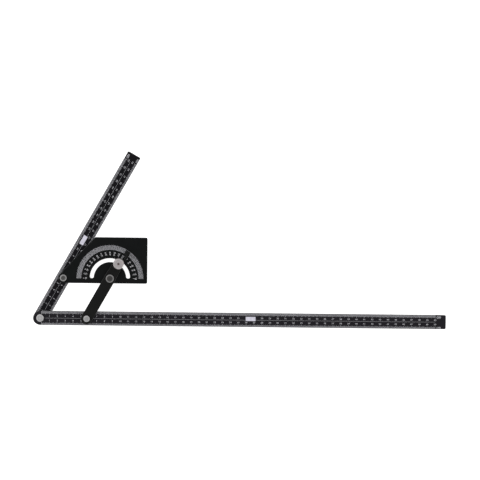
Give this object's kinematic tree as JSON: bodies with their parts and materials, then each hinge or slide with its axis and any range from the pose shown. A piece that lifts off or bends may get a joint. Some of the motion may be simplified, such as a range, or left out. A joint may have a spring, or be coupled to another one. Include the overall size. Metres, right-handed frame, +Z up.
{
  "type": "angle ruler",
  "caption": "Graduated rulers hinged at one end and linked by a slotted protractor plate and a pointer arm, with a knob that clamps the set angle.",
  "frame": {"origin": "on the hinge axis between the rulers, in the plane of the short ruler's underside", "axes": "+X along the long ruler away from the hinge, +Z up from the table, +Y to the side that the short ruler opens to"},
  "size_m": [0.5245, 0.2218, 0.0245],
  "materials": {
    "black_metal": "black anodised, satin, with white printed graduations",
    "bright_rivet": "nickel plated, satin",
    "dark_rivet": "dull, unplated",
    "knob_metal": "nickel plated, turned and knurled",
    "friction": "dark nylon",
    "name_plate": "bare, matt white"
  },
  "bodies": {
    "long_ruler": {"long_ruler": "black_metal", "long_label": "name_plate", "link_rivet": "bright_rivet", "link_friction": "friction"},
    "short_ruler": {"short_ruler": "black_metal", "short_label": "name_plate", "hinge_rivet": "bright_rivet", "hinge_friction": "friction", "plate_rivet": "dark_rivet", "plate_friction": "friction", "plate_washer": "bright_rivet"},
    "protractor": {"protractor_plate": "black_metal", "centre_rivet": "dark_rivet", "centre_friction": "friction", "centre_washer": "bright_rivet"},
    "link_arm": {"link_arm": "black_metal", "lock_screw": "bright_rivet", "slide_washer": "friction", "lock_washer": "bright_rivet"},
    "lock_knob": {"lock_knob": "knob_metal"}
  },
  "joints": [
    {"name": "opening", "type": "hinge", "parent": "long_ruler", "child": "short_ruler", "pos_m": [0, 0, 0], "axis": [0, 0, 1], "range_deg": [-45, 104]},
    {"name": "plate_swing", "type": "hinge", "parent": "short_ruler", "child": "protractor", "pos_m": [0.02915, 0.05153, 0], "axis": [0, 0, 1], "range_deg": [-104, 45]},
    {"name": "arm_swing", "type": "hinge", "parent": "long_ruler", "child": "link_arm", "pos_m": [0.0592, 0, 0], "axis": [0, 0, 1], "range_deg": [-45, 104]},
    {"name": "knob_turn", "type": "hinge", "parent": "link_arm", "child": "lock_knob", "pos_m": [0.09973, 0.07163, 0], "axis": [0, 0, 1], "range_deg": [0, 360]}
  ],
  "couplings": [
    {"joint": "plate_swing", "follows": "opening", "ratio": -1},
    {"joint": "arm_swing", "follows": "opening", "ratio": 1}
  ]
}
